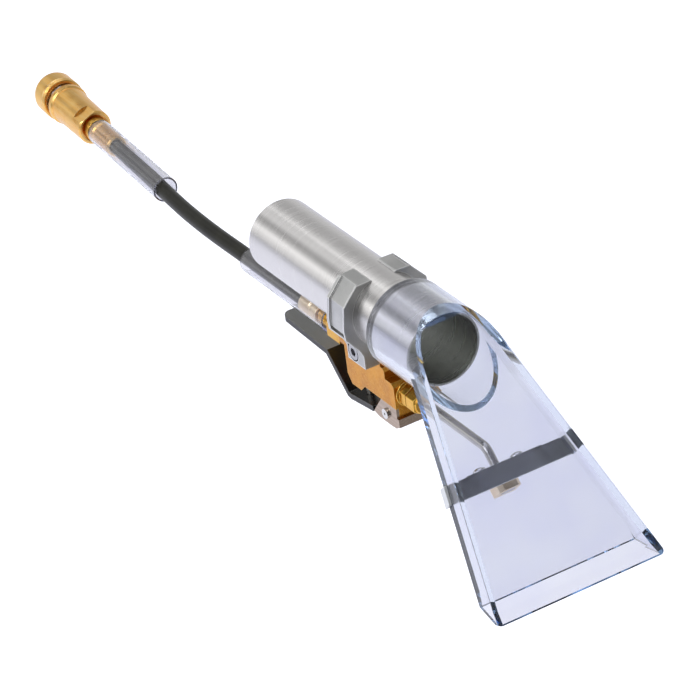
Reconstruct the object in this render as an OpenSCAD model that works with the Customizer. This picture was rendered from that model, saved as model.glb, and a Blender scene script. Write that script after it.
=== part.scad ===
// Hand tool for a carpet cleaning extractor: a steel vacuum tube with a clear fan head, a trigger
// valve clamped under the tube, a spray jet behind the head, and a short hose with a quick coupler.
// Origin: centre of the tube's rear end. +X runs along the tube to the head, +Z is up.

/* [Vacuum tube] */
// Outside diameter of the tube, the size of the hose cuff that fits over it
tube_od = 38.1; // [36:0.1:41]
// Wall of the tube
tube_wall = 1.2; // [0.8:0.1:2]
// Length of the tube
tube_len = 152.4; // [145:0.2:170]

/* [Clear head] */
// Length of tube inside the head's collar
collar_grip = 33.6; // [25:0.2:38]
// Wall of the collar
collar_wall = 4; // [3:0.1:5]
// Tilt of the fan below the tube's axis
head_tilt = 45; // [42:1:48]
// Thickness of the fan across its two plates
fan_thick = 14; // [11:0.5:16]
// Wall of the fan's plates and sides
fan_wall = 3; // [2:0.1:3.5]
// Half the fan's width level with the tube's end
fan_root = 21.4; // [20:0.1:21.8]
// Half the fan's width at the mouth
fan_mouth = 47; // [40:0.5:55]
// Drop from the tube's axis to the mouth
mouth_drop = 83.2; // [76:0.2:92]
// Width of the flat left on each lip of the mouth
lip_land = 1.2; // [0.8:0.1:2.5]
// Length of the bevel inside each lip
lip_bevel = 6; // [3:0.5:9]
// Radius of the front lip's corners
corner_r = 2.5; // [1:0.5:4]

/* [Clamp] */
// Front face of the clamp, measured from the tube's rear end
clamp_front = 100.6; // [99.4:0.2:101.2]
// Width of the clamp along the tube
clamp_w = 16; // [15:0.5:16.5]
// Wall of the clamp's ears
ear_wall = 5.9; // [5.4:0.1:6.4]
// Thickness of each foot
foot_thick = 8.4; // [7.9:0.1:8.9]
// Diameter of the clamp screw
clamp_screw_d = 5; // [4:0.5:5]

/* [Valve] */
// Width of the brass body
body_w = 15; // [14:0.5:15.5]
// Rear face of the body
body_rear = 65.5; // [64:0.5:66]
// Front face of the body
body_front = 110.5; // [110:0.5:112]
// Depth of the body's underside below the tube's axis
body_bottom = 49.6; // [49:0.1:50.5]
// Place of the valve stem along the tube
stem_x = 73; // [72.5:0.1:73.5]
// Diameter of the valve stem
stem_d = 4.5; // [4:0.1:4.8]
// Depth of the inlet's axis below the tube's axis
inlet_drop = 31; // [30.6:0.1:31.4]
// Depth of the outlet's axis below the tube's axis
outlet_drop = 42.4; // [42:0.1:42.8]

/* [Trigger] */
// Distance of the pivot behind the body's front face
pivot_back = 10; // [9.5:0.1:10.5]
// Pivot's depth below the tube's axis
pivot_drop = 56; // [55.8:0.1:56.4]
// Diameter of the pivot pin
pivot_d = 4; // [3.5:0.1:4.2]
// Thickness of the lever
lever_t = 3; // [2.5:0.1:3.2]
// Length of the finger tongue
tongue_len = 43.5; // [38:0.5:46]
// Sheet thickness of the bracket
bracket_t = 1.5; // [1:0.1:1.6]

/* [Spray jet] */
// Outside diameter of the jet tube
jet_od = 4.76; // [4:0.02:5]
// Bore of the jet tube
jet_bore = 3; // [2:0.1:3.2]
// Radius of the bend in the jet tube
bend_r = 7; // [5:0.5:12]
// Distance of the jet's axis behind the head
jet_offset = 11.2; // [10.6:0.1:12]
// Distance down the head to the jet strap
strap_s = 60; // [56:0.5:66]
// Width of the jet strap
strap_w = 9.5; // [8:0.5:11]
// Sheet thickness of the jet strap
strap_t = 1.5; // [1:0.1:1.8]

/* [Hose and coupler] */
// Outside diameter of the hose
hose_od = 8.5; // [7.5:0.1:9]
// Outside diameter of the crimped ferrules
ferrule_od = 12; // [11:0.1:12.4]
// Wall of the clear sleeves
sleeve_wall = 0.95; // [0.7:0.05:1.2]
// Outside diameter of the coupler's sliding sleeve
coupler_od = 24.4; // [23.6:0.1:26]
// Bore of the coupler for its plug
plug_bore = 12; // [11.6:0.1:12.2]

/* [Hidden] */

$fn = 64;
fit = 0.05;            // radial clearance of fitted pieces
gap = 0.3;             // clearance between moving pieces
brass = "#D2A048";
steel = "#C9C7C4";

// ---- derived values ----
tube_r = tube_od / 2;
collar_r = tube_r + fit + collar_wall;
fan_flare = (fan_mouth - fan_root) / (mouth_drop / sin(head_tilt) + fan_thick);
collar_rear = tube_len - collar_grip;
clamp_rear = clamp_front - clamp_w;
pivot_x = body_front - pivot_back;
body_top = tube_r + 0.15;
foot_in = body_w / 2 + fit;
foot_out = foot_in + foot_thick;
foot_drop = 27.9;
clamp_screw_x = clamp_rear + 5.4;
clamp_screw_z = -22.6;

// ---- shared shapes ----

// A cylinder along +X
module rod_x(r, len) {
    rotate([0, 90, 0])
        cylinder(r = r, h = len);
}

// A cylinder along +Y, centred
module rod_y(r, len) {
    rotate([90, 0, 0])
        cylinder(r = r, h = len, center = true);
}

// A hexagonal prism along +X, across flats af
module hex_x(af, len) {
    rotate([0, 90, 0])
        cylinder(r = af / sqrt(3), h = len, $fn = 6);
}

// An outline in X and Z, given width along Y and centred on it
module slab_y(width) {
    rotate([90, 0, 0])
        linear_extrude(height = width, center = true)
            children();
}

// Frame of the head: X runs down the fan, Z out of its front plate, from the tube's front end
module on_head() {
    translate([tube_len, 0, 0])
        rotate([0, head_tilt, 0])
            children();
}

// Frame of the coupler: X runs back along it, from the hose's end
module on_coupler() {
    translate(hose_end)
        rotate([0, -coupler_droop, -coupler_yaw])
            rotate([0, 180, 0])
                children();
}

// A turned piece along X, from an outline of [radius, x] points
module turned_x(outline) {
    rotate([0, 90, 0])
        rotate_extrude()
            polygon(outline);
}

// Points of one ring of a swept tube
function ring_at(p, side, up, r, n) = [for (k = [0:n - 1])
    p + r * (cos(360 * k / n) * side + sin(360 * k / n) * up)];

// A tube of n sides swept along points, closed at its ends
module sweep(pts, r, n) {
    last = len(pts) - 1;
    dirs = [for (i = [0:last]) let (d = pts[min(i + 1, last)] - pts[max(i - 1, 0)]) d / norm(d)];
    sides = [for (d = dirs) let (c = cross([0, 0, 1], d)) c / norm(c)];
    rings = [for (i = [0:last]) ring_at(pts[i], sides[i], cross(dirs[i], sides[i]), r, n)];
    verts = [for (rg = rings) for (p = rg) p];
    walls = [for (i = [0:last - 1]) for (k = [0:n - 1])
        [i * n + k, (i + 1) * n + k, (i + 1) * n + (k + 1) % n, i * n + (k + 1) % n]];
    start_cap = [[for (k = [0:n - 1]) k]];
    end_cap = [[for (k = [n - 1:-1:0]) last * n + k]];
    polyhedron(points = verts, faces = concat(walls, start_cap, end_cap), convexity = 4);
}

// A coil spring along +X with flat-lying end turns
module coil_x(mean_r, wire_r, length, turns) {
    steps = 14;
    n = round(turns * steps);
    span = length - 2 * wire_r;
    pts = [for (i = [0:n]) let (a = 360 * i / steps)
        [wire_r + span * i / n, mean_r * cos(a), mean_r * sin(a)]];
    coil_sweep(pts, wire_r, 6);
}

// A wire swept round the X axis
module coil_sweep(pts, r, n) {
    last = len(pts) - 1;
    rings = [for (i = [0:last]) let (out = [0, pts[i].y, pts[i].z] / norm([0, pts[i].y, pts[i].z]))
        ring_at(pts[i], out, [1, 0, 0], r, n)];
    verts = [for (rg = rings) for (p = rg) p];
    walls = [for (i = [0:last - 1]) for (k = [0:n - 1])
        [i * n + k, i * n + (k + 1) % n, (i + 1) * n + (k + 1) % n, (i + 1) * n + k]];
    start_cap = [[for (k = [n - 1:-1:0]) k]];
    end_cap = [[for (k = [0:n - 1]) last * n + k]];
    polyhedron(points = verts, faces = concat(walls, start_cap, end_cap), convexity = 8);
}

// ---- vacuum tube ----

module vacuum_tube() {
    color(steel)
        difference() {
            rod_x(tube_r, tube_len);
            translate([-1, 0, 0])
                rod_x(tube_r - tube_wall, tube_len + 2);
        }
}

// ---- clear head ----

reach = 200;           // longer than anything in the head
tube_room = 0.1;       // room in front of the tube's end

// The fan's outline in its own plane, inset by a wall
module fan_outline(inset) {
    s0 = 4;
    half0 = fan_root + fan_flare * s0 - inset;
    half1 = fan_root + fan_flare * reach - inset;
    polygon([[s0, -half0], [reach, -half1], [reach, half1], [s0, half0]]);
}

// Everything above the mouth's plane
module above_mouth() {
    difference() {
        children();
        translate([0, -reach, -mouth_drop - reach])
            cube([2 * reach, 2 * reach, reach]);
    }
}

front_edge = (mouth_drop + fan_thick * cos(head_tilt)) / sin(head_tilt);
back_edge = mouth_drop / sin(head_tilt);

// What is cut from inside the two lips, so that each meets the fabric with a narrow flat
module lip_bevels() {
    land = lip_land * [cos(head_tilt), sin(head_tilt)];
    front = [front_edge, fan_thick] - land;
    back = [back_edge, 0] + land;
    front_in = fan_thick - fan_wall;
    on_head()
        intersection() {
            linear_extrude(height = fan_thick)
                fan_outline(fan_wall);
            slab_y(2 * reach) {
                polygon([front, [front.x - lip_bevel, front_in], [front.x - lip_bevel, front_in - 1],
                    [front.x + 4, front_in - 1], [front.x + 4, front.y]]);
                polygon([back, [back.x - lip_bevel, fan_wall], [back.x - lip_bevel, fan_wall + 1],
                    [back.x + 4, fan_wall + 1], [back.x + 4, back.y]]);
            }
        }
}

// What is cut from a corner of the front lip to round it
module lip_corner() {
    slant = sqrt(1 + fan_flare * fan_flare);
    side = [-fan_flare, 1] / slant;
    cs = front_edge - corner_r;
    centre = [cs, fan_root + fan_flare * cs - corner_r * slant];
    on_head()
        translate([0, 0, -1])
            linear_extrude(height = fan_thick + 2)
                difference() {
                    polygon([centre, centre + corner_r * side, centre + (corner_r + 2) * side,
                        [front_edge + 2, centre.y + corner_r + 3], [front_edge + 2, centre.y]]);
                    translate(centre)
                        circle(r = corner_r);
                }
}

// A cylinder on the tube's axis that stops at a plane h in front of the tube's end, along the tilt
module to_plate(r, x0, h) {
    difference() {
        translate([x0, 0, 0])
            rod_x(r, reach);
        on_head()
            translate([-reach, -reach, h])
                cube([3 * reach, 2 * reach, reach]);
    }
}

module clear_head() {
    color([0.86, 0.87, 0.96, 0.45])
        above_mouth()
            difference() {
                union() {
                    to_plate(collar_r, collar_rear, fan_thick);
                    on_head()
                        linear_extrude(height = fan_thick)
                            fan_outline(0);
                }
                to_plate(tube_r + fit, collar_rear - 1, fan_thick - fan_wall);
                translate([collar_rear - 1, 0, 0])
                    rod_x(tube_r + fit, collar_grip + 1 + tube_room);
                on_head()
                    translate([0, 0, fan_wall])
                        linear_extrude(height = fan_thick - 2 * fan_wall)
                            fan_outline(fan_wall);
                lip_bevels();
                lip_corner();
                mirror([0, 1, 0])
                    lip_corner();
            }
}

// ---- clamp ----

ear_r = tube_r + ear_wall;
tip_angle = 21;

// Outer line of an ear seen along the tube, from its top corner down to its lower corner
ear_line = [[-ear_r * sin(40) + 0.6, ear_r * cos(40) - 0.8], [-ear_r * sin(69) - 0.2, ear_r * cos(69) + 0.3],
    [-ear_r, -2.5], [-ear_r + 0.5, -ear_r * cos(71)]];

// One half of the clamp seen along the tube: faceted ear, waist and foot
module clamp_outline() {
    difference() {
        polygon(concat(
            [[-(tube_r + 0.8) * sin(tip_angle), (tube_r + 0.8) * cos(tip_angle)]],
            ear_line,
            [
                [-foot_out - 5.2, -ear_r + 12.5], [-foot_out - 1.8, -ear_r + 8.5],
                [-foot_out, -ear_r + 4.4], [-foot_out, -foot_drop], [-foot_in, -foot_drop],
                [-foot_in, -foot_drop + 5], [-foot_out + 4, -tube_r + 4],
                [-foot_out + 2, 0], [-5, tube_r - 2]
            ]));
        circle(r = tube_r + fit);
    }
}

// The outline as a casting along the tube
module clamp_casting() {
    translate([clamp_rear, 0, 0])
        rotate([90, 0, 90])
            linear_extrude(height = clamp_w)
                clamp_outline();
}

panel_depth = 0.8;
rim_rear = 2.2;
rim_front = 1.2;
panel_step = 1.4;
mark_r = 2;
mark_wall = 0.35;
mark_depth = 0.3;

// What is cast away from an ear's outside: a sunk panel between two rims, with a deeper step at
// its lower end and a round ejector mark
module ear_panel() {
    top = ear_line[0] + 4 * (ear_line[0] - ear_line[1]) / norm(ear_line[0] - ear_line[1]);
    line = [top, ear_line[1], ear_line[2], ear_line[3] + [0, 0.8]];
    low = ear_line[3] + [0, 0.8];
    translate([clamp_rear + rim_rear, 0, 0])
        rotate([90, 0, 90])
            linear_extrude(height = clamp_w - rim_rear - rim_front) {
                polygon(concat(moved(line, -3), reversed(moved(line, panel_depth))));
                translate(low - [3, 0])
                    square([3 + 2.4 * panel_depth, panel_step]);
            }
    translate([clamp_screw_x + 1, -ear_r + panel_depth, 2.7])
        rotate([90, 0, 0])
            difference() {
                cylinder(r = mark_r, h = 2 * mark_depth, center = true);
                cylinder(r = mark_r - mark_wall, h = 2, center = true);
            }
}

module clamp_half_near() {
    color("#B9BBBD")
        difference() {
            clamp_casting();
            ear_panel();
            translate([clamp_screw_x, -foot_out + 5, clamp_screw_z])
                rod_y(clamp_screw_d / 2 + fit, 20);
            translate([clamp_screw_x, -foot_out - 6, clamp_screw_z])
                rod_y(screw_head_r + head_room, 20.4);
        }
}

module clamp_half_far() {
    color("#B9BBBD")
        difference() {
            mirror([0, 1, 0])
                clamp_casting();
            mirror([0, 1, 0])
                ear_panel();
            translate([clamp_screw_x, foot_out - 5, clamp_screw_z])
                rod_y(clamp_screw_d / 2 + fit, 20);
            translate([clamp_screw_x, foot_out + 8 - nut_t, clamp_screw_z])
                rotate([90, 0, 0])
                    cylinder(r = nut_af / sqrt(3) + 0.1, h = 16, center = true, $fn = 6);
        }
}

screw_head_r = 4.25;
screw_head_t = 4;
head_room = 0.6;
nut_af = 8;
nut_t = 4;

module clamp_screw() {
    head_y = -foot_out;
    color("#9A9CA0")
        difference() {
            union() {
                translate([clamp_screw_x, head_y + screw_head_t / 2, clamp_screw_z])
                    rod_y(screw_head_r, screw_head_t);
                translate([clamp_screw_x, (head_y + foot_out - 1) / 2, clamp_screw_z])
                    rod_y(clamp_screw_d / 2, foot_out - 1 - head_y);
            }
            translate([clamp_screw_x, head_y, clamp_screw_z])
                rotate([90, 0, 0])
                    cylinder(r = 4 / sqrt(3), h = 5, center = true, $fn = 6);
        }
}

module clamp_nut() {
    color("#9A9CA0")
        translate([clamp_screw_x, foot_out - nut_t / 2 - 0.1, clamp_screw_z])
            difference() {
                rotate([90, 0, 0])
                    cylinder(r = nut_af / sqrt(3), h = nut_t - 0.2, center = true, $fn = 6);
                rod_y(clamp_screw_d / 2 + fit, nut_t + 1);
            }
}

// ---- valve ----

chamber_r = 4;
seat_drop = 36;
seat_r = 2.8;
boss_drop = 53.4;
lug_w = 12;
lug_rear = body_front - 5.5;
web_top = 54.8;
boss_rear = 60;
inlet_thread_r = 4.85;
inlet_boss_r = 7.2;
cap_drop = 25;
passage_r = 2.5;
outlet_thread_r = 4.85;
outlet_thread_len = 8.5;

// The body seen from its side
module body_outline() {
    polygon([
        [body_rear, -cap_drop], [clamp_rear + 1, -cap_drop], [clamp_rear + 1, -body_top],
        [clamp_front - 1, -body_top], [clamp_front - 1, -30], [body_front - 9, -30],
        [body_front - 7.5, -31.5], [body_front - 7.5, -35.5], [body_front - 2, -35.5],
        [body_front, -37.5], [body_front, -body_bottom], [stem_x + 8.5, -body_bottom],
        [stem_x + 4.5, -boss_drop], [stem_x - 4, -boss_drop], [body_rear, -body_bottom + 1]
    ]);
}

module valve_body() {
    color(brass)
        difference() {
            union() {
                slab_y(body_w)
                    body_outline();
                translate([boss_rear, 0, -inlet_drop])
                    rod_x(inlet_boss_r, body_rear - boss_rear + 1);
                translate([lug_rear, -lug_w / 2, -pivot_drop - 2])
                    cube([body_front - lug_rear, lug_w, pivot_drop + 3 - body_bottom]);
            }
            translate([boss_rear - 1, 0, -inlet_drop])
                rod_x(inlet_thread_r + fit, stem_x - boss_rear + 1);
            translate([stem_x, 0, -seat_drop])
                cylinder(r = chamber_r, h = seat_drop - cap_drop + 1);
            translate([stem_x, 0, -outlet_drop - 3])
                cylinder(r = seat_r, h = outlet_drop + 4 - seat_drop);
            translate([stem_x, 0, -boss_drop - 1])
                cylinder(r = stem_d / 2 + fit, h = boss_drop + 1 - outlet_drop);
            translate([stem_x, 0, -o_ring_drop - o_ring_w / 2])
                cylinder(r = o_ring_r, h = o_ring_w);
            translate([stem_x, 0, -outlet_drop])
                rod_x(passage_r, body_front - stem_x);
            translate([body_front - outlet_thread_len, 0, -outlet_drop])
                rod_x(outlet_thread_r + fit, outlet_thread_len + 1);
            translate([clamp_screw_x, 0, clamp_screw_z])
                rod_y(clamp_screw_d / 2 + fit, body_w + 2);
        }
}

cap_head = 3.4;
cap_plug = 3.5;

module valve_cap() {
    color(brass)
        translate([stem_x, 0, -cap_drop])
            union() {
                cylinder(r = 10 / sqrt(3), h = cap_head, $fn = 6);
                translate([0, 0, -cap_plug])
                    cylinder(r = chamber_r - fit, h = cap_plug);
            }
}

poppet_top = seat_drop - 3;

module valve_spring() {
    free_top = cap_drop + cap_plug + 0.05;
    color("#B8B8BA")
        translate([stem_x, 0, -poppet_top + 0.05])
            rotate([0, -90, 0])
                coil_x(2.6, 0.35, poppet_top - free_top - 0.1, 3);
}

washer_t = 1;

module valve_stem() {
    tip = lever_top_at(stem_x + stem_d / 2) + fit;
    color(steel)
        translate([stem_x, 0, 0])
            union() {
                translate([0, 0, -poppet_top - 2])
                    cylinder(r = chamber_r - 0.6, h = 2);
                translate([0, 0, tip])
                    cylinder(r = stem_d / 2, h = -poppet_top - 1 - tip);
            }
}

module poppet_washer() {
    color("#2A2A2A")
        translate([stem_x, 0, -seat_drop])
            difference() {
                cylinder(r = chamber_r - 0.6, h = washer_t);
                translate([0, 0, -1])
                    cylinder(r = stem_d / 2, h = washer_t + 2);
            }
}

o_ring_r = 3.6;
o_ring_w = 2;
o_ring_drop = 49;

module stem_o_ring() {
    section = (o_ring_r - stem_d / 2) / 2;
    color("#2A2A2A")
        translate([stem_x, 0, -o_ring_drop])
            rotate_extrude()
                translate([stem_d / 2 + section, 0])
                    circle(r = section - 0.02, $fn = 24);
}

// ---- inlet and valve end of the hose ----

ferrule_rear = 18.5;
ferrule_len = 17.5;
nipple_tail_r = 3;
neck_r = 5;
hex_rear = 48;
nipple_bore = 1.8;

module inlet_fitting() {
    hex_len = boss_rear - hex_rear;
    hex_af = 2 * inlet_boss_r - 0.4;
    neck_rear = ferrule_rear + ferrule_len;
    color(brass)
        translate([0, 0, -inlet_drop])
            difference() {
                union() {
                    translate([hex_rear, 0, 0])
                        hex_x(hex_af, hex_len);
                    translate([neck_rear, 0, 0])
                        rod_x(neck_r, hex_rear - neck_rear - 3);
                    translate([hex_rear - 3, 0, 0])
                        rod_x(neck_r - 1, 3);
                    translate([ferrule_rear + 2, 0, 0])
                        rod_x(nipple_tail_r, neck_rear - ferrule_rear);
                    translate([boss_rear, 0, 0])
                        rod_x(inlet_thread_r, stem_x - chamber_r - boss_rear - 0.5);
                }
                translate([0, 0, 0])
                    rod_x(nipple_bore, stem_x);
            }
}

// A crimped ferrule along +X, grooved by the crimping jaws
module ferrule(len) {
    r = ferrule_od / 2;
    turned_x([
        [nipple_tail_r + fit, 2], [nipple_tail_r + fit, len], [r - 0.2, len], [r, len - 0.6],
        [r, len - 4], [r - 0.7, len - 5], [r - 0.7, len - 7], [r, len - 8], [r, 1], [r - 1, 0],
        [0, 0], [0, 2]
    ]);
}

module valve_ferrule() {
    color(brass)
        translate([ferrule_rear, 0, -inlet_drop])
            ferrule(ferrule_len);
}

sleeve_in = ferrule_od / 2 + fit;

module clear_sleeve(len) {
    difference() {
        rod_x(sleeve_in + sleeve_wall, len);
        translate([-1, 0, 0])
            rod_x(sleeve_in, len + 2);
    }
}

valve_sleeve_rear = -38;
valve_sleeve_len = 81;

module valve_hose_sleeve() {
    color([0.9, 0.91, 0.96, 0.4])
        translate([valve_sleeve_rear, 0, -inlet_drop])
            clear_sleeve(valve_sleeve_len);
}

// Route of the hose's centre line, from the valve's ferrule to the coupler's
hose_end = [-205, 11, -34.5];
coupler_yaw = 4.6;
coupler_droop = 1.2;
HOSE = [[18.5, 0, -31], [8, 0, -31], [-4, 0, -31], [-16, 0, -31], [-28, 0, -31], [-40, 0, -31.1],
    [-52, 0, -31.2], [-64, 0, -31.4], [-76, 0.1, -31.6], [-88, 0.4, -31.8], [-100, 1, -32.1],
    [-112, 1.8, -32.4], [-124, 2.9, -32.7], [-136, 4.1, -33], [-148, 5.4, -33.2],
    [-160, 6.7, -33.5], [-172, 7.9, -33.8], [-184, 9, -34], [-195, 10.2, -34.3], hose_end];

module hose() {
    color("#26261F")
        sweep(HOSE, hose_od / 2, 10);
}

// ---- quick coupler, in its own frame ----

coupler_ferrule_len = 26;
coupler_front = 31.5;
collar_at = 68;
groove_front = 73.3;
groove_rear = 76.8;
coupler_rear = 92.7;
nose_r = 8.6;
nipple_thread_r = 6.3;
nipple_collar_r = 7;
nipple_end = 45;
coupler_chamber_r = 5.5;
poppet_seat = 65.3;
socket_floor = 68;
ball_r = 1.5;
ball_at = 86.5;
land_r = 8.7;
land_front = 81.5;
land_rear = 88;
ring_rear = 89.4;

module coupler_hose_sleeve() {
    sleeve_front = -64;
    color([0.9, 0.91, 0.96, 0.4])
        on_coupler()
            translate([sleeve_front, 0, 0])
                clear_sleeve(coupler_ferrule_len - 1 - sleeve_front);
}

module coupler_ferrule() {
    color(brass)
        on_coupler()
            ferrule(coupler_ferrule_len);
}

module hose_nipple() {
    collar_end = coupler_front + 3;
    color(brass)
        on_coupler()
            difference() {
                union() {
                    translate([2.5, 0, 0])
                        rod_x(nipple_tail_r, coupler_ferrule_len);
                    translate([coupler_ferrule_len, 0, 0])
                        rod_x(nipple_collar_r, collar_end - coupler_ferrule_len);
                    translate([collar_end, 0, 0])
                        rod_x(nipple_thread_r, nipple_end - collar_end);
                }
                rod_x(nipple_bore, nipple_end + 1);
            }
}

module coupler_body() {
    r = coupler_od / 2;
    flat_af = 17;
    flat_len = 9.5;
    color(brass)
        on_coupler()
            difference() {
                turned_x([
                    [0, coupler_front], [8.9, coupler_front], [9.8, coupler_front + 1],
                    [10.2, collar_at - 9], [10.6, collar_at - 3], [r - 1.5, collar_at],
                    [r - 0.7, collar_at + 0.8], [r - 0.6, groove_front - 2.2],
                    [r - 1.1, groove_front - 0.8], [r - 2, groove_front], [nose_r, groove_front],
                    [nose_r, land_rear + 0.1], [nose_r - 0.8, land_rear + 0.1],
                    [nose_r - 0.8, ring_rear], [nose_r, ring_rear], [nose_r, coupler_rear - 1],
                    [nose_r - 0.6, coupler_rear - 0.4], [0, coupler_rear - 0.4]
                ]);
                rotate([65, 0, 0])
                    for (side = [-1, 1])
                        translate([coupler_front - 1, side * (flat_af / 2 + 5) - 5, -20])
                            cube([flat_len + 1, 10, 40]);
                translate([coupler_front - 1, 0, 0])
                    rod_x(nipple_collar_r + 0.9, 4);
                translate([coupler_front, 0, 0])
                    rod_x(nipple_thread_r + fit, nipple_end - coupler_front);
                translate([nipple_end - 1, 0, 0])
                    rod_x(coupler_chamber_r, poppet_seat - nipple_end + 1);
                translate([poppet_seat - 1, 0, 0])
                    rod_x(3.4, 5);
                translate([socket_floor, 0, 0])
                    rod_x(plug_bore / 2, coupler_rear);
                translate([seal_at - seal_w / 2, 0, 0])
                    rod_x(seal_r, seal_w);
                for (k = [0:5])
                    rotate([60 * k, 0, 0])
                        translate([ball_at, 0, 0])
                            cylinder(r = ball_r + fit, h = nose_r + 1);
            }
}

sleeve_travel = 3;

module coupler_sleeve() {
    r = coupler_od / 2;
    color(brass)
        on_coupler()
            turned_x([
                [10.1, groove_rear], [r - 0.5, groove_rear], [r, groove_rear + 0.4],
                [r, groove_rear + 1.2], [r - 0.45, groove_rear + 1.5], [r - 0.45, groove_rear + 1.9],
                [r, groove_rear + 2.2], [r, groove_rear + 3], [r - 0.35, groove_rear + 3.3],
                [r - 0.35, groove_rear + 3.6], [r - 0.1, groove_rear + 3.9],
                [r, coupler_rear - 3], [r - 0.6, coupler_rear - 1.2], [r - 1.8, coupler_rear],
                [9.9, coupler_rear], [9.9, land_rear], [land_r, land_rear],
                [land_r, land_front], [10.1, land_front]
            ]);
}

module coupler_sleeve_spring() {
    color("#B8B8BA")
        on_coupler()
            translate([groove_front + 0.05, 0, 0])
                coil_x(9.35, 0.45, land_front - groove_front - 0.1, 3);
}

module coupler_balls() {
    color("#D8D8DA")
        on_coupler()
            for (k = [0:5])
                rotate([60 * k, 0, 0])
                    translate([ball_at, 0, land_r - ball_r - 0.02])
                        sphere(r = ball_r, $fn = 32);
}

module coupler_retaining_ring() {
    color("#B8B8BA")
        on_coupler()
            difference() {
                turned_x([
                    [nose_r - 0.75, land_rear + 0.15], [nose_r - 0.75, ring_rear - 0.05],
                    [9.6, ring_rear - 0.05], [9.6, land_rear + 0.15]
                ]);
                translate([land_rear, -1.5, 0])
                    cube([3, 3, 12]);
            }
}

poppet_disc = 3;
poppet_wing = 6;
poppet_front = poppet_seat - 1 - poppet_disc - poppet_wing;

module coupler_poppet() {
    color(brass)
        on_coupler()
            union() {
                translate([poppet_seat - 1 - poppet_disc, 0, 0])
                    rod_x(4.4, poppet_disc);
                translate([poppet_seat - 2, 0, 0])
                    rod_x(1.8, 8);
                for (a = [0, 90])
                    rotate([a, 0, 0])
                        translate([poppet_front + 1.5, -coupler_chamber_r + 0.1, -0.6])
                            cube([poppet_wing - 1, 2 * coupler_chamber_r - 0.2, 1.2]);
            }
}

module coupler_poppet_spring() {
    start = nipple_end + 0.05;
    color("#B8B8BA")
        on_coupler()
            translate([start, 0, 0])
                coil_x(4.2, 0.4, poppet_front + 1.45 - start, 5);
}

module coupler_poppet_washer() {
    color("#2A2A2A")
        on_coupler()
            translate([poppet_seat - 1, 0, 0])
                difference() {
                    rod_x(4.4, 0.98);
                    translate([-1, 0, 0])
                        rod_x(1.8, 3);
                }
}

seal_at = 76;
seal_w = 2.2;
seal_r = 7.6;

module coupler_o_ring() {
    section = 0.9;
    color("#2A2A2A")
        on_coupler()
            translate([seal_at, 0, 0])
                rotate([0, 90, 0])
                    rotate_extrude()
                        translate([seal_r - section - 0.02, 0])
                            circle(r = section, $fn = 24);
}

// ---- trigger ----

plate_bottom = 61.5;

module trigger_bracket() {
    rear = pivot_x - 12.5;
    front = body_front + bracket_t;
    color("#A88F80")
        difference() {
            union() {
                for (side = [-1, 1])
                    translate([0, side * (body_w - bracket_t) / 2, 0])
                        slab_y(bracket_t)
                            polygon([
                                [pivot_x - 4, -body_bottom], [body_front, -body_bottom],
                                [body_front, -web_top], [front, -web_top],
                                [front, -plate_bottom + 3.5], [front - 3, -plate_bottom + 0.4],
                                [front - 8, -plate_bottom], [rear + 5, -plate_bottom],
                                [rear, -plate_bottom + 1.3]
                            ]);
                translate([body_front, -body_w / 2, -plate_bottom + 2])
                    cube([bracket_t, body_w, plate_bottom - 2 - web_top]);
            }
            translate([pivot_x, 0, -pivot_drop])
                rod_y(pivot_d / 2 + fit / 2, body_w + 2);
        }
}

pin_head_r = 2.7;
pin_head_t = 1.1;

module pivot_pin() {
    color("#D8D8DA")
        translate([pivot_x, 0, -pivot_drop])
            difference() {
                union() {
                    rod_y(pivot_d / 2, body_w + 0.1);
                    for (side = [-1, 1])
                        translate([0, side * (body_w + pin_head_t + 0.1) / 2, 0])
                            rod_y(pin_head_r, pin_head_t);
                }
                translate([0, -body_w / 2 - pin_head_t, 0])
                    rod_y(0.7, 2);
            }
}

hub_r = 3.8;
tongue_root = 45;
tongue_rear = tongue_root - tongue_len;
lever_w = 15;
fork_w = body_w - 2 * bracket_t - 2 * gap;
lever_low = [[tongue_rear, -45.3], [tongue_root, -47], [62.5, -63.6], [65.5, -64], [86.5, -61.3]];

// The lever's upper face at a place along the arm
function lever_top_at(x) = let (a = lever_low[3], b = lever_low[4])
    a.y + (b.y - a.y) * (x - a.x) / (b.x - a.x) + lever_t * norm(b - a) / (b.x - a.x);

// A line moved sideways by t, mitred at its corners
function moved(line, t) = [for (i = [0:len(line) - 1])
    let (a = line[max(i - 1, 0)], b = line[i], c = line[min(i + 1, len(line) - 1)])
    let (u = i == 0 ? (c - b) / norm(c - b) : (b - a) / norm(b - a))
    let (v = i == len(line) - 1 ? u : (c - b) / norm(c - b))
    let (n = [-(u + v).y, (u + v).x], m = n / norm(n))
    b + m * t / (m.x * -u.y + m.y * u.x)];

function reversed(line) = [for (i = [len(line) - 1:-1:0]) line[i]];

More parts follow.
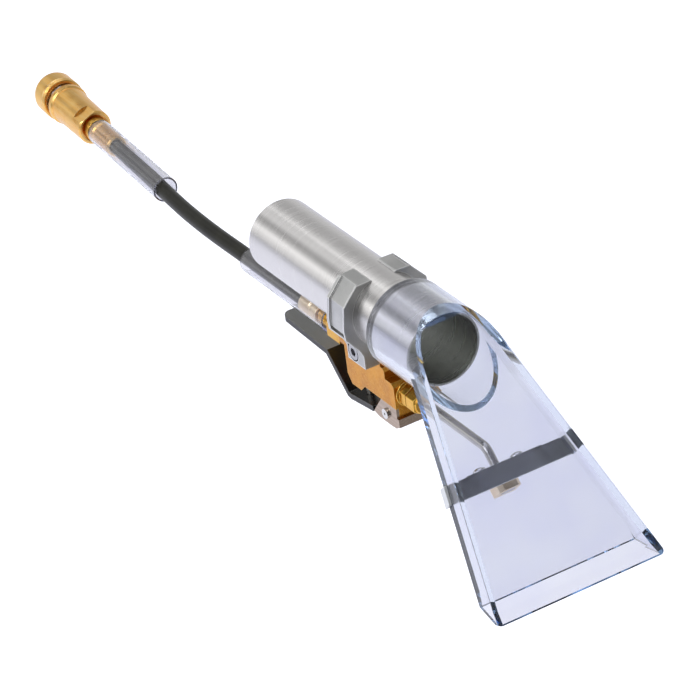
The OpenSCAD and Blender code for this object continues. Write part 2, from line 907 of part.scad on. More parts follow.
module trigger_lever() {
    corner = lever_w / 3;
    deep = pivot_drop + 4 * lever_t + hub_r + 8;
    high = deep - tube_r;
    lever_line = concat(lever_low, [[pivot_x - 1, -pivot_drop - hub_r + 0.1]]);
    outline = concat(lever_line, reversed(moved(lever_line, lever_t)));
    split = pivot_x - 13.5;
    color("#1B1B1C")
        difference() {
            union() {
                intersection() {
                    slab_y(lever_w)
                        polygon(outline);
                    translate([0, 0, -deep])
                        union() {
                            translate([tongue_rear + corner, -lever_w / 2, 0])
                                cube([split - tongue_rear - corner, lever_w, high]);
                            translate([tongue_rear - 2, -lever_w / 2 + corner, 0])
                                cube([corner + 2.1, lever_w - 2 * corner, high]);
                            for (side = [-1, 1])
                                translate([tongue_rear + corner, side * (lever_w / 2 - corner), 0])
                                    cylinder(r = corner, h = high);
                        }
                }
                intersection() {
                    slab_y(fork_w)
                        polygon(outline);
                    translate([split - 1, -lever_w, -deep])
                        cube([pivot_x + hub_r - split + 1, 2 * lever_w, high]);
                }
                translate([pivot_x, 0, -pivot_drop])
                    rod_y(hub_r, fork_w);
            }
            translate([pivot_x, 0, -pivot_drop])
                rod_y(pivot_d / 2 + fit, body_w);
        }
}

// ---- spray jet ----

shoulder_r = 7;
shoulder_len = 1.4;
outlet_af = 11;
outlet_hex_len = 5.2;
stub_r = 3.9;
stub_len = 5.5;
fitting_len = shoulder_len + outlet_hex_len;
tube_start = body_front + fitting_len - 3;

module outlet_fitting() {
    color(brass)
        translate([body_front, 0, -outlet_drop])
            difference() {
                union() {
                    rod_x(shoulder_r, shoulder_len);
                    translate([shoulder_len, 0, 0])
                        hex_x(outlet_af, outlet_hex_len);
                    translate([-outlet_thread_len + 0.5, 0, 0])
                        rod_x(outlet_thread_r, outlet_thread_len);
                    rod_x(stub_r, fitting_len + stub_len);
                }
                translate([-outlet_thread_len, 0, 0])
                    rod_x(jet_bore / 2, 30);
                translate([tube_start - body_front, 0, 0])
                    rod_x(jet_od / 2 + fit, 30);
            }
}

nut_start = body_front + fitting_len + 0.5;
nut_len = 8.6;
nut_hex_af = 11;

module compression_nut() {
    ring_end = ring_start + ring_len + 0.2;
    color(brass)
        translate([0, 0, -outlet_drop])
            difference() {
                union() {
                    translate([nut_start, 0, 0])
                        hex_x(nut_hex_af, nut_len - 1.4);
                    translate([nut_start, 0, 0])
                        rod_x(4.9, nut_len);
                }
                translate([nut_start - 1, 0, 0])
                    rod_x(stub_r + fit, ring_end - nut_start + 1);
                translate([nut_start, 0, 0])
                    rod_x(jet_od / 2 + fit, nut_len + 1);
            }
}

ring_start = body_front + fitting_len + stub_len + 0.1;
ring_len = 1.4;

module compression_ring() {
    color(brass)
        translate([ring_start, 0, -outlet_drop])
            difference() {
                rod_x(stub_r - 0.1, ring_len);
                translate([-1, 0, 0])
                    rod_x(jet_od / 2 + fit / 2, ring_len + 2);
            }
}

// The tube's corner lies where its level run meets the line behind the head
corner_x = tube_len + (outlet_drop * cos(head_tilt) - jet_offset) / sin(head_tilt);
bend_cut = bend_r * tan(head_tilt / 2);
corner_s = (corner_x - tube_len) * cos(head_tilt) + outlet_drop * sin(head_tilt);
jet_in = strap_s + strap_t + 5.5;

lap = 0.02;

// The jet tube's path as a solid of radius r
module jet_path(r) {
    translate([tube_start, 0, -outlet_drop])
        rod_x(r, corner_x - bend_cut - tube_start + lap);
    translate([corner_x - bend_cut, 0, -outlet_drop - bend_r])
        rotate([90, head_tilt - 90, 0])
            rotate_extrude(angle = head_tilt)
                translate([bend_r, 0])
                    circle(r = r, $fn = 32);
    on_head()
        translate([corner_s + bend_cut - lap, 0, -jet_offset])
            rod_x(r, jet_in - corner_s - bend_cut + lap);
}

module jet_tube() {
    color(steel)
        difference() {
            jet_path(jet_od / 2);
            jet_path(jet_bore / 2);
            translate([tube_start - 1, 0, -outlet_drop])
                rod_x(jet_bore / 2, 5);
            on_head()
                translate([jet_in - 3, 0, -jet_offset])
                    rod_x(jet_bore / 2, 5);
        }
}

shelf_half = 21;
shelf_depth = jet_offset + 6;
jet_screw_y = 10.5;
jet_screw_r = 1.9;
jet_screw_h = -8;
lip_h = 4;

// Half the fan's width at a distance down the head
function fan_half(s) = fan_root + fan_flare * s;

module jet_strap() {
    s0 = strap_s;
    s1 = strap_s + strap_w;
    out = strap_t + fit;
    color("#8C9096")
        on_head()
            difference() {
                union() {
                    translate([0, 0, -strap_t])
                        linear_extrude(height = strap_t)
                            polygon([
                                [s0, -fan_half(s0) - out], [s1, -fan_half(s1) - out],
                                [s1, fan_half(s1) + out], [s0, fan_half(s0) + out]
                            ]);
                    for (side = [-1, 1])
                        translate([0, 0, -strap_t])
                            linear_extrude(height = strap_t + lip_h)
                                polygon([
                                    [s0, side * (fan_half(s0) + fit)], [s1, side * (fan_half(s1) + fit)],
                                    [s1, side * (fan_half(s1) + out)], [s0, side * (fan_half(s0) + out)]
                                ]);
                    translate([s0 - 0.4, -shelf_half, -shelf_depth])
                        cube([strap_t, 2 * shelf_half, shelf_depth]);
                }
                translate([s0 - 2, 0, -jet_offset])
                    rod_x(jet_od / 2 + 0.2, 5);
                for (side = [-1, 1])
                    translate([s0 - 2, side * jet_screw_y, jet_screw_h])
                        rod_x(jet_screw_r + fit, 5);
            }
}

jet_body_s = strap_s - 0.4 + strap_t;
jet_body_len = 11;
jet_flange = 3;
jet_body_half = 6;
tip_len = 4;
tip_r = 3.9;
socket_s = jet_body_s + jet_body_len - tip_len;

module jet_body() {
    deep = 11;
    front = -jet_offset + deep / 2;
    chamfer = 2.2;
    color(brass)
        on_head()
            difference() {
                union() {
                    translate([jet_body_s, -jet_screw_y - 4.5, -jet_offset - deep / 2])
                        cube([jet_flange, 2 * jet_screw_y + 9, deep]);
                    translate([jet_body_s, 0, 0])
                        rotate([0, 90, 0])
                            linear_extrude(height = jet_body_len)
                                polygon([
                                    [-front, -jet_body_half + chamfer], [-front, jet_body_half - chamfer],
                                    [-front + chamfer, jet_body_half], [-front + deep, jet_body_half],
                                    [-front + deep, -jet_body_half], [-front + chamfer, -jet_body_half]
                                ]);
                }
                translate([jet_body_s - 1, 0, -jet_offset])
                    rod_x(jet_od / 2 + fit, jet_in - jet_body_s + 1);
                translate([jet_in - 1, 0, -jet_offset])
                    rod_x(1.2, 10);
                translate([socket_s, 0, -jet_offset])
                    rod_x(tip_r + fit, tip_len + 1);
                for (side = [-1, 1])
                    translate([jet_body_s - 1, side * jet_screw_y, jet_screw_h])
                        rod_x(jet_screw_r + fit, jet_flange + 2);
            }
}

module jet_screws() {
    head_s = strap_s - 0.4;
    color("#D8D8DA")
        on_head()
            for (side = [-1, 1])
                translate([head_s, side * jet_screw_y, jet_screw_h])
                    difference() {
                        union() {
                            translate([-2.4, 0, 0])
                                turned_x([[0, 0], [2, 0], [3.2, 0.7], [3.6, 1.6], [3.6, 2.4], [0, 2.4]]);
                            rod_x(jet_screw_r, strap_t + jet_flange);
                        }
                        for (a = [0, 90])
                            rotate([a, 0, 0])
                                translate([-2.6, -2, -0.35])
                                    cube([1.2, 4, 0.7]);
                    }
}

module jet_tip() {
    color(steel)
        on_head()
            translate([socket_s + 0.05, 0, -jet_offset])
                difference() {
                    rod_x(tip_r, tip_len - 0.05);
                    translate([-1, 0, 0])
                        rod_x(1.3, 3);
                    rod_x(0.5, tip_len + 1);
                    translate([tip_len - 1.2, -tip_r - 1, -0.5])
                        cube([2, 2 * tip_r + 2, 1]);
                }
}

// A fine screen in the end of the jet tube
module jet_filter() {
    len = 5;
    color("#B8B8BA")
        on_head()
            translate([jet_in - len, 0, -jet_offset])
                difference() {
                    rod_x(jet_bore / 2 - fit, len);
                    translate([-1, 0, 0])
                        rod_x(jet_bore / 2 - 0.5, len);
                }
}

vacuum_tube();
clear_head();
clamp_half_near();
clamp_half_far();
clamp_screw();
clamp_nut();
valve_body();
valve_cap();
valve_spring();
valve_stem();
poppet_washer();
stem_o_ring();
inlet_fitting();
valve_ferrule();
valve_hose_sleeve();
hose();
coupler_hose_sleeve();
coupler_ferrule();
hose_nipple();
coupler_body();
coupler_sleeve();
coupler_sleeve_spring();
coupler_balls();
coupler_retaining_ring();
coupler_poppet();
coupler_poppet_spring();
coupler_o_ring();
coupler_poppet_washer();
trigger_bracket();
pivot_pin();
trigger_lever();
outlet_fitting();
compression_nut();
compression_ring();
jet_tube();
jet_strap();
jet_body();
jet_screws();
jet_tip();
jet_filter();
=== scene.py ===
import bpy
import bmesh
import math
from mathutils import Matrix, Vector


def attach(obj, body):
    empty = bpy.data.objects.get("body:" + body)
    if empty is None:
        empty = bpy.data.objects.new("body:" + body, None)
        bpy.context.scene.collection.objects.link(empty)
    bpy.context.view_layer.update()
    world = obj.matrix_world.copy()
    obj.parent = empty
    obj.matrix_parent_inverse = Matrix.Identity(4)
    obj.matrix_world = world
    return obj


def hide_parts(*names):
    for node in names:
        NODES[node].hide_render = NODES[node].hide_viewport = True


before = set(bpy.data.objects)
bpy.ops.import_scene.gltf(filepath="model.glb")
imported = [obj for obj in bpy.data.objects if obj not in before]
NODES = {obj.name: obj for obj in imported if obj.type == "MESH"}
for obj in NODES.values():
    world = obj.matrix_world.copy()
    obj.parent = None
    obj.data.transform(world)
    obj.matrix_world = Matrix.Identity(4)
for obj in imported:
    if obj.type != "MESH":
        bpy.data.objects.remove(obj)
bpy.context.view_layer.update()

sc = bpy.context.scene
MM = 0.001

# ------------------------------------------------------------------ camera
# The view's axes in the tool's frame, before the turn: across, down and into the view
ACROSS = Vector((0.53626, 0.83801, -0.10084))
DOWN = Vector((0.38166, -0.34730, -0.85657))
INTO = Vector((-0.75284, 0.42086, -0.50607))
TURN = math.atan(-0.024757)
CAMERA_AT = Vector((1.51248, -0.76034, 0.91428))
LENS = 197.5
BOUNCES = 32             # light crosses the clear head's walls many times

cam_data = bpy.data.cameras.new("camera")
cam = bpy.data.objects.new("camera", cam_data)
sc.collection.objects.link(cam)
sc.camera = cam
right = (math.cos(TURN) * ACROSS - math.sin(TURN) * INTO).normalized()
ahead = (math.cos(TURN) * INTO + math.sin(TURN) * ACROSS).normalized()
pose = Matrix((right, -DOWN, -ahead)).transposed().to_4x4()
pose.translation = CAMERA_AT
cam.matrix_world = pose
cam_data.sensor_width = 36
cam_data.lens = LENS
cam_data.clip_start = 0.05
cam_data.clip_end = 30
sc.cycles.max_bounces = BOUNCES
sc.cycles.transmission_bounces = BOUNCES
sc.cycles.glossy_bounces = 16


# ------------------------------------------------------------------ node tools
class Mat:
    """A Principled material with a few shorthands for procedural nodes."""

    def __init__(self, name):
        self.mat = bpy.data.materials.new(name)
        self.mat.use_nodes = True
        self.nt = self.mat.node_tree
        self.bsdf = self.nt.nodes["Principled BSDF"]
        self.out = self.nt.nodes["Material Output"]
        self.coord = None

    def node(self, kind, **inputs):
        """A new node; p_ sets a property, anything else an input."""
        n = self.nt.nodes.new(kind)
        for k, val in inputs.items():
            if k.startswith("p_"):
                setattr(n, k[2:], val)
            else:
                n.inputs[k.replace("_", " ")].default_value = val
        return n

    def link(self, a, b):
        self.nt.links.new(a, b)

    def set(self, **vals):
        for k, val in vals.items():
            s = self.bsdf.inputs[k.replace("_", " ")]
            s.default_value = val

    def place(self, scale=(1, 1, 1)):
        """The place on the tool, stretched by scale."""
        if self.coord is None:
            self.coord = self.nt.nodes.new("ShaderNodeTexCoord")
        mp = self.nt.nodes.new("ShaderNodeMapping")
        mp.inputs["Scale"].default_value = scale
        self.link(self.coord.outputs["Object"], mp.inputs["Vector"])
        return mp.outputs["Vector"]

    def noise(self, scale, detail, rough, squash=(1, 1, 1)):
        """Noise in the tool's frame, drawn out along the axes that squash makes small."""
        n = self.node("ShaderNodeTexNoise", Scale=scale, Detail=detail, Roughness=rough)
        self.link(self.place(squash), n.inputs["Vector"])
        return n.outputs["Fac"]

    def mix(self, fac, a, b):
        n = self.nt.nodes.new("ShaderNodeMix")
        n.data_type = "RGBA"
        for sock, val in ((n.inputs[0], fac), (n.inputs[6], a), (n.inputs[7], b)):
            if isinstance(val, (int, float)):
                sock.default_value = val
            elif isinstance(val, tuple):
                sock.default_value = (*val, 1)
            else:
                self.link(val, sock)
        return n.outputs[2]

    def range(self, fac, lo, hi, f0=0.0, f1=1.0):
        """fac from f0 to f1 becomes lo to hi."""
        n = self.node("ShaderNodeMapRange")
        n.inputs["From Min"].default_value = f0
        n.inputs["From Max"].default_value = f1
        n.inputs["To Min"].default_value = lo
        n.inputs["To Max"].default_value = hi
        self.link(fac, n.inputs["Value"])
        return n.outputs["Result"]

    def edges(self, radius):
        """0 on flat faces, towards 1 along edges; the clamp and the lever use it for painted edge
        highlights.
        """
        bev = self.node("ShaderNodeBevel", p_samples=4)
        bev.inputs["Radius"].default_value = radius
        geo = self.nt.nodes.new("ShaderNodeNewGeometry")
        dot = self.nt.nodes.new("ShaderNodeVectorMath")
        dot.operation = "DOT_PRODUCT"
        self.link(bev.outputs["Normal"], dot.inputs[0])
        self.link(geo.outputs["Normal"], dot.inputs[1])
        return self.range(dot.outputs["Value"], 1.0, 0.0, 0.82, 0.99)

    def soak(self, density, colour):
        """Light loses colour on its way through."""
        absorb = self.node("ShaderNodeVolumeAbsorption", Density=density)
        absorb.inputs["Color"].default_value = (*colour, 1)
        self.link(absorb.outputs["Volume"], self.out.inputs["Volume"])

    def bump(self, height, strength, distance):
        b = self.node("ShaderNodeBump", Strength=strength, Distance=distance)
        self.link(height, b.inputs["Height"])
        self.link(b.outputs["Normal"], self.bsdf.inputs["Normal"])


def lin(hexcode):
    """sRGB hex to linear."""
    out = []
    for i in (1, 3, 5):
        c = int(hexcode[i:i + 2], 16) / 255
        out.append(c / 12.92 if c <= 0.04045 else ((c + 0.055) / 1.055) ** 2.4)
    return tuple(out)


BORE_EDGE = 0.0182       # just outside the tube's bore
BORE_FADE = 0.0004
# painted shade colour for the inside of the tube
BORE_PAINTED_SHADE = (0.60, 0.61, 0.56)
SQUASH = {"x": (0.02, 1, 1), "y": (1, 0.02, 1), "round": (1, 0.03, 0.03)}


def brushed(name, base, dark, along, rough, scale=900, aniso=0.0, fine=0.5, metallic=1.0, inside=0.0):
    """Brushed metal: fine lines that run round or along one axis."""
    mt = Mat(name)
    lines = mt.noise(scale, 3, 0.6, SQUASH[along])
    soft = mt.noise(22, 3, 0.5)
    tone = tuple(b * (1 - fine) + d * fine for b, d in zip(base, dark))
    col = mt.mix(mt.range(lines, 0, 1, 0.3, 0.7), tone, base)
    col = mt.mix(mt.range(soft, 0.0, 0.3, 0.4, 0.7), col, tuple(c * 0.86 for c in base))
    if inside:
        # painted shade: the bore is painted darker than the outside, nearer the axis than `inside`
        off_axis = mt.node("ShaderNodeVectorMath", p_operation="LENGTH")
        mt.link(mt.place((0, 1, 1)), off_axis.inputs[0])
        bore_shade_mask = mt.range(off_axis.outputs["Value"], 1.0, 0.0, inside, inside + BORE_FADE)
        col = mt.mix(bore_shade_mask, col, BORE_PAINTED_SHADE)
    mt.link(col, mt.bsdf.inputs["Base Color"])
    mt.link(mt.range(lines, rough - 0.04, rough + 0.06), mt.bsdf.inputs["Roughness"])
    mt.set(Metallic=metallic)
    if aniso:
        tan = mt.node("ShaderNodeTangent", p_direction_type="RADIAL", p_axis="X")
        mt.link(tan.outputs["Tangent"], mt.bsdf.inputs["Tangent"])
        mt.set(Anisotropic=aniso, Anisotropic_Rotation=0.25)
    mt.bump(lines, 0.08, 0.00003)
    return mt.mat


ALL_WAYS = (1, 1, 1)
DRAWN = (0.02, 1, 1)     # faint lines along the tool's axis


def brass(name, base, dark, bright, rough, marks=ALL_WAYS):
    """Machined brass: tarnish in broad patches, brighter edges, faint tool marks."""
    mt = Mat(name)
    patch = mt.noise(70, 4, 0.55)
    fine = mt.noise(900, 3, 0.6, marks)
    col = mt.mix(mt.range(patch, 0, 1, 0.35, 0.68), dark, base)
    col = mt.mix(mt.range(fine, 0, 0.25, 0.4, 0.75), col, bright)
    # lighter along the edges
    col = mt.mix(mt.edges(0.0006), col, bright)
    mt.link(col, mt.bsdf.inputs["Base Color"])
    mt.link(mt.range(patch, rough - 0.05, rough + 0.12, 0.3, 0.7), mt.bsdf.inputs["Roughness"])
    mt.set(Metallic=1.0)
    mt.bump(fine, 0.10, 0.00005)
    return mt.mat


# ------------------------------------------------------------------ materials
tube_steel = brushed("tube_steel_look", (0.80, 0.785, 0.78), (0.60, 0.585, 0.58), "round", 0.25, 700,
                     aniso=0.75, fine=0.35, inside=BORE_EDGE)
jet_steel = brushed("jet_steel_look", (0.62, 0.60, 0.56), (0.38, 0.36, 0.33), "x", 0.22)
strap_steel = brushed("strap_steel_look", (0.84, 0.86, 0.87), (0.70, 0.72, 0.73), "y", 0.44, metallic=0.7)
bracket_steel = brushed("bracket_steel_look", (0.52, 0.41, 0.33), (0.26, 0.19, 0.14), "x", 0.20)
screw_steel = brushed("screw_steel_look", (0.50, 0.50, 0.52), (0.30, 0.30, 0.32), "y", 0.30)
spring_steel = brushed("spring_steel_look", (0.60, 0.60, 0.61), (0.40, 0.40, 0.42), "x", 0.25)
bright_steel = brushed("bright_steel_look", (0.78, 0.77, 0.76), (0.62, 0.61, 0.60), "x", 0.12, 1400)
brass_body = brass("brass_body_look", lin("#E29E34"), lin("#C07C26"), lin("#F5CE7C"), 0.26)
brass_fitting = brass("brass_fitting_look", lin("#F0B94C"), lin("#CC9228"), lin("#FFE492"), 0.16)
brass_ferrule = brass("brass_ferrule_look", lin("#F8E8CA"), lin("#EACFA4"), lin("#FFF6E2"), 0.34, DRAWN)
brass_coupler = brass("brass_coupler_look", lin("#FFD07A"), lin("#F6B85A"), lin("#FFF0BE"), 0.27, DRAWN)

mt = Mat("cast_aluminium_look")
grain = mt.noise(1600, 2, 0.5)
patch = mt.noise(60, 3, 0.5)
col = mt.mix(mt.range(patch, 0, 1, 0.35, 0.65), (0.49, 0.495, 0.49), (0.60, 0.60, 0.595))
col = mt.mix(mt.range(grain, 0, 0.35, 0.5, 0.7), col, (0.40, 0.40, 0.40))
# painted highlight: the clamp's edges are painted near white
col = mt.mix(mt.edges(0.0014), col, (0.95, 0.95, 0.95))
mt.link(col, mt.bsdf.inputs["Base Color"])
mt.link(mt.range(grain, 0.30, 0.44), mt.bsdf.inputs["Roughness"])
mt.set(Metallic=1.0)
mt.bump(grain, 0.30, 0.00010)
cast_aluminium = mt.mat

GRIP_END = 0.051         # along the tool, just past the bend at the end of the grip
mt = Mat("black_lever_look")
orange = mt.noise(700, 2, 0.5)
dust = mt.noise(130, 4, 0.6)
col = mt.mix(mt.range(dust, 0, 0.4, 0.5, 0.8), (0.010, 0.010, 0.010), (0.016, 0.016, 0.016))
# painted sheen: the grip alone is painted lighter where it faces up, a painted reflection of the sky on
# its top face
facing = mt.node("ShaderNodeSeparateXYZ")
mt.link(mt.node("ShaderNodeNewGeometry").outputs["Normal"], facing.inputs[0])
spot = mt.node("ShaderNodeSeparateXYZ")
mt.link(mt.place(), spot.inputs[0])
painted_top_sheen = mt.node("ShaderNodeMath", p_operation="MULTIPLY")
mt.link(mt.range(facing.outputs["Z"], 0, 1, 0.75, 0.97), painted_top_sheen.inputs[0])
mt.link(mt.range(spot.outputs["X"], 1, 0, GRIP_END - 0.005, GRIP_END + 0.005), painted_top_sheen.inputs[1])
col = mt.mix(painted_top_sheen.outputs[0], col, (0.25, 0.252, 0.24))
# painted highlight: thin lighter lines along the lever's edges
col = mt.mix(mt.edges(0.0008), col, (0.16, 0.16, 0.16))
mt.link(col, mt.bsdf.inputs["Base Color"])
mt.link(mt.range(dust, 0.18, 0.30), mt.bsdf.inputs["Roughness"])
mt.set(IOR=1.45, Specular_IOR_Level=0.35, Coat_Weight=0.10, Coat_Roughness=0.04)
mt.bump(orange, 0.08, 0.0001)
black_lever = mt.mat

mt = Mat("hose_rubber_look")
grain = mt.noise(1200, 3, 0.6, (0.2, 1, 1))
wear = mt.noise(60, 4, 0.6)
col = mt.mix(mt.range(wear, 0, 1, 0.35, 0.7), lin("#15150F"), lin("#28281F"))
mt.link(col, mt.bsdf.inputs["Base Color"])
mt.link(mt.range(wear, 0.30, 0.45), mt.bsdf.inputs["Roughness"])
mt.set(IOR=1.5, Specular_IOR_Level=0.3)
mt.bump(grain, 0.10, 0.0001)
hose_rubber = mt.mat

mt = Mat("seal_rubber_look")
grain = mt.noise(1500, 3, 0.6)
col = mt.mix(mt.range(grain, 0, 1, 0.3, 0.7), (0.012, 0.012, 0.012), (0.03, 0.03, 0.03))
mt.link(col, mt.bsdf.inputs["Base Color"])
mt.link(mt.range(grain, 0.45, 0.6), mt.bsdf.inputs["Roughness"])
mt.bump(grain, 0.2, 0.0001)
seal_rubber = mt.mat

mt = Mat("clear_plastic_look")
flow = mt.noise(35, 3, 0.5)
scuff = mt.noise(260, 4, 0.6, (0.4, 1, 0.4))
col = mt.mix(mt.range(flow, 0, 1, 0.35, 0.65), lin("#F6F6FD"), lin("#FBFBFE"))
mt.link(col, mt.bsdf.inputs["Base Color"])
mt.link(mt.range(scuff, 0.0, 0.05, 0.55, 0.85), mt.bsdf.inputs["Roughness"])
mt.set(IOR=1.49, Transmission_Weight=0.985)
mt.bump(flow, 0.08, 0.0006)
mt.soak(15.0, (0.28, 0.54, 0.80))
clear_plastic = mt.mat

mt = Mat("clear_vinyl_look")
flow = mt.noise(90, 3, 0.5)
col = mt.mix(mt.range(flow, 0, 1, 0.35, 0.65), lin("#F4F4FA"), lin("#FCFCFE"))
mt.link(col, mt.bsdf.inputs["Base Color"])
mt.link(mt.range(flow, 0.03, 0.09, 0.35, 0.7), mt.bsdf.inputs["Roughness"])
mt.set(IOR=1.42, Transmission_Weight=0.94)
mt.bump(flow, 0.04, 0.0003)
mt.soak(20.0, (0.45, 0.50, 0.75))
clear_vinyl = mt.mat

LOOK = {
    "vacuum_tube": tube_steel, "clear_head": clear_plastic,
    "clamp_half_near": cast_aluminium, "clamp_half_far": cast_aluminium,
    "clamp_screw": screw_steel, "clamp_nut": screw_steel,
    "valve_body": brass_body, "valve_cap": brass_fitting, "valve_spring": spring_steel,
    "valve_stem": jet_steel, "poppet_washer": seal_rubber, "stem_o_ring": seal_rubber,
    "inlet_fitting": brass_fitting, "valve_ferrule": brass_ferrule,
    "valve_hose_sleeve": clear_vinyl, "hose": hose_rubber, "coupler_hose_sleeve": clear_vinyl,
    "coupler_ferrule": brass_coupler, "hose_nipple": brass_fitting, "coupler_body": brass_coupler,
    "coupler_sleeve": brass_coupler, "coupler_sleeve_spring": spring_steel, "coupler_balls": bright_steel,
    "coupler_retaining_ring": brass_coupler, "coupler_poppet": brass_coupler,
    "coupler_poppet_spring": spring_steel, "coupler_o_ring": seal_rubber,
    "coupler_poppet_washer": seal_rubber, "trigger_bracket": bracket_steel, "pivot_pin": bright_steel,
    "trigger_lever": black_lever, "outlet_fitting": brass_fitting, "compression_nut": brass_fitting,
    "compression_ring": brass_fitting, "jet_tube": jet_steel, "jet_strap": strap_steel,
    "jet_body": brass_ferrule, "jet_screws": bright_steel, "jet_tip": jet_steel, "jet_filter": jet_steel,
}
for name, obj in NODES.items():
    obj.data.materials.clear()
    obj.data.materials.append(LOOK[name])


# ------------------------------------------------------------------ hose
ROUTE = [(18.5, 0, -31), (8, 0, -31), (-4, 0, -31), (-16, 0, -31), (-28, 0, -31), (-40, 0, -31.1),
         (-52, 0, -31.2), (-64, 0, -31.4), (-76, 0.1, -31.6), (-88, 0.4, -31.8), (-100, 1, -32.1),
         (-112, 1.8, -32.4), (-124, 2.9, -32.7), (-136, 4.1, -33), (-148, 5.4, -33.2),
         (-160, 6.7, -33.5), (-172, 7.9, -33.8), (-184, 9, -34), (-195, 10.2, -34.3), (-205, 11, -34.5)]
HOSE_OD = 8.5


def smooth(points, parts=4):
    """A Catmull-Rom line through the points."""
    pts = [Vector(p) * MM for p in points]
    out = []
    for i in range(len(pts) - 1):
        p0, p1, p2, p3 = pts[max(i - 1, 0)], pts[i], pts[i + 1], pts[min(i + 2, len(pts) - 1)]
        for k in range(parts):
            t = k / parts
            out.append(0.5 * ((2 * p1) + (p2 - p0) * t + (2 * p0 - 5 * p1 + 4 * p2 - p3) * t * t
                              + (3 * p1 - p0 - 3 * p2 + p3) * t * t * t))
    out.append(pts[-1])
    return out


line = smooth(ROUTE)
curve = bpy.data.curves.new("hose_tube", "CURVE")
curve.dimensions = "3D"
curve.bevel_depth = HOSE_OD / 2 * MM
curve.bevel_resolution = 12
curve.use_fill_caps = True
spline = curve.splines.new("POLY")
spline.points.add(len(line) - 1)
for point, at in zip(spline.points, line):
    point.co = (*at, 1)
spline.use_smooth = True
hose = bpy.data.objects.new("hose_tube", curve)
sc.collection.objects.link(hose)
hose.data.materials.append(hose_rubber)
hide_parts("hose")
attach(hose, "tool")

# ------------------------------------------------------------------ rounded edges on the CAD nodes
WELD = 0.00001
SHARPEST = math.radians(28)
BEVEL = {                # width in millimetres
    "clamp_half_near": 0.5, "clamp_half_far": 0.5, "valve_body": 0.45, "valve_cap": 0.3,
    "inlet_fitting": 0.35, "trigger_bracket": 0.3, "trigger_lever": 0.5,
    "outlet_fitting": 0.3, "compression_nut": 0.35, "jet_strap": 0.3, "jet_body": 0.4,
    "clamp_screw": 0.3, "jet_screws": 0.2, "coupler_body": 0.25, "coupler_sleeve": 0.25,
    "hose_nipple": 0.3, "valve_ferrule": 0.2, "coupler_ferrule": 0.2, "vacuum_tube": 0.25,
    "pivot_pin": 0.3, "jet_tip": 0.2,
}
for name, wide in BEVEL.items():
    node = NODES[name]
    weld = node.modifiers.new("weld", "WELD")
    weld.merge_threshold = WELD
    bevel = node.modifiers.new("round", "BEVEL")
    bevel.width = wide * MM
    bevel.segments = 3
    bevel.limit_method = "ANGLE"
    bevel.angle_limit = SHARPEST
    bevel.use_clamp_overlap = True
    bevel.harden_normals = False
    normals = node.modifiers.new("normals", "WEIGHTED_NORMAL")
    normals.keep_sharp = True
    for face in node.data.polygons:
        face.use_smooth = True

# ------------------------------------------------------------------ floor
FLOOR_HALF = 6
FLOOR_AT = (-5.6, 0, -0.32)
FLOOR_COLOUR = (0.84, 0.855, 0.98, 1)
FLOOR_GLOW = 0.27        # for every ray, so that the clear head shows a pale backdrop
CAMERA_GLOW = 0.42       # more for the camera alone, so that the floor is white there

floor_mesh = bpy.data.meshes.new("floor")
bm = bmesh.new()
bmesh.ops.create_grid(bm, x_segments=1, y_segments=1, size=FLOOR_HALF)
bm.to_mesh(floor_mesh)
bm.free()
floor = bpy.data.objects.new("floor", floor_mesh)
sc.collection.objects.link(floor)
floor.location = FLOOR_AT
mt = Mat("floor_look")
glow = mt.node("ShaderNodeMath", p_operation="MULTIPLY_ADD")
mt.link(mt.node("ShaderNodeLightPath").outputs["Is Camera Ray"], glow.inputs[0])
glow.inputs[1].default_value = CAMERA_GLOW
glow.inputs[2].default_value = FLOOR_GLOW
mt.set(Base_Color=FLOOR_COLOUR, Roughness=0.9, Specular_IOR_Level=0.1, Emission_Color=(0.96, 0.97, 1, 1))
mt.link(glow.outputs[0], mt.bsdf.inputs["Emission Strength"])
floor.data.materials.append(mt.mat)


# ------------------------------------------------------------------ world
# Soft strips of light and shade round the tube's axis: degrees from above towards the near side
STRIPS = [(-180, 0.86), (-140, 1.10), (-105, 1.05), (-80, 0.66), (-40, 0.40), (-20, 0.34), (-2, 0.62),
          (18, 0.80), (38, 0.36), (52, 0.50), (64, 0.92), (76, 0.66), (92, 0.34), (122, 0.60),
          (150, 0.82), (180, 0.86)]
FRONT_FROM = 0.1         # the side that the tool is seen from is darker
FRONT_TO = 0.7
FRONT_LIGHT = 0.30

world = bpy.data.worlds.new("world")
sc.world = world
world.use_nodes = True
tree = world.node_tree
sky = tree.nodes["Background"]


def math_node(operation, *feeds):
    """A maths node fed with sockets or with numbers."""
    n = tree.nodes.new("ShaderNodeMath")
    n.operation = operation
    for socket, feed in zip(n.inputs, feeds):
        if isinstance(feed, (int, float)):
            socket.default_value = feed
        else:
            tree.links.new(feed, socket)
    return n.outputs[0]


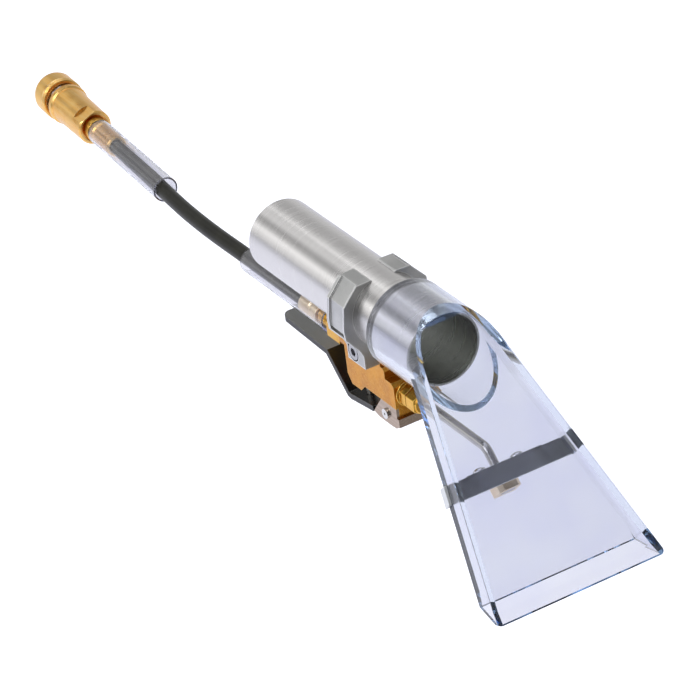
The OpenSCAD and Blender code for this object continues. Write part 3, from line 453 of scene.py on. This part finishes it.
looking = tree.nodes.new("ShaderNodeSeparateXYZ")
tree.links.new(tree.nodes.new("ShaderNodeTexCoord").outputs["Generated"], looking.inputs[0])
round_axis = math_node("ARCTAN2", math_node("MULTIPLY", looking.outputs["Y"], -1), looking.outputs["Z"])
turn = tree.nodes.new("ShaderNodeMapRange")
turn.inputs["From Min"].default_value = -math.pi
turn.inputs["From Max"].default_value = math.pi
tree.links.new(round_axis, turn.inputs["Value"])
ramp = tree.nodes.new("ShaderNodeValToRGB")
ramp.color_ramp.interpolation = "EASE"
stops = ramp.color_ramp.elements
while len(stops) < len(STRIPS):
    stops.new(0.5)
for stop, (degrees, light) in zip(stops, STRIPS):
    stop.position = (degrees + 180) / 360
    stop.color = (light, light, light, 1)
tree.links.new(turn.outputs["Result"], ramp.inputs["Fac"])
front = tree.nodes.new("ShaderNodeMapRange")
front.interpolation_type = "SMOOTHSTEP"
front.inputs["From Min"].default_value = FRONT_FROM
front.inputs["From Max"].default_value = FRONT_TO
front.inputs["To Min"].default_value = 1.0
front.inputs["To Max"].default_value = FRONT_LIGHT
tree.links.new(looking.outputs["X"], front.inputs["Value"])
dim = tree.nodes.new("ShaderNodeVectorMath")
dim.operation = "SCALE"
tree.links.new(ramp.outputs["Color"], dim.inputs[0])
tree.links.new(front.outputs["Result"], dim.inputs["Scale"])
# the camera alone sees white; metal and glass see the strips
white = tree.nodes.new("ShaderNodeMix")
white.data_type = "RGBA"
white.inputs[7].default_value = (1, 1, 1, 1)
tree.links.new(tree.nodes.new("ShaderNodeLightPath").outputs["Is Camera Ray"], white.inputs[0])
tree.links.new(dim.outputs[0], white.inputs[6])
tree.links.new(white.outputs[2], sky.inputs["Color"])
sky.inputs["Strength"].default_value = 1.0


# ------------------------------------------------------------------ lamps
def area(name, at, aim, size, power):
    """A square lamp at one place, turned to another."""
    light = bpy.data.lights.new(name, "AREA")
    light.shape = "SQUARE"
    light.size = size
    light.energy = power
    lamp = bpy.data.objects.new(name, light)
    sc.collection.objects.link(lamp)
    lamp.location = at
    lamp.rotation_euler = (Vector(aim) - Vector(at)).to_track_quat("-Z", "Y").to_euler()


area("key", (0.2, -1.5, 1.3), (0.05, 0, 0), 1.1, 15)
area("side", (-1.0, -1.2, 0.4), (0.0, 0, 0), 0.8, 0.9)
area("top", (-0.5, 0.3, 1.7), (0, 0, 0), 1.5, 8)

sc.view_settings.view_transform = "Standard"
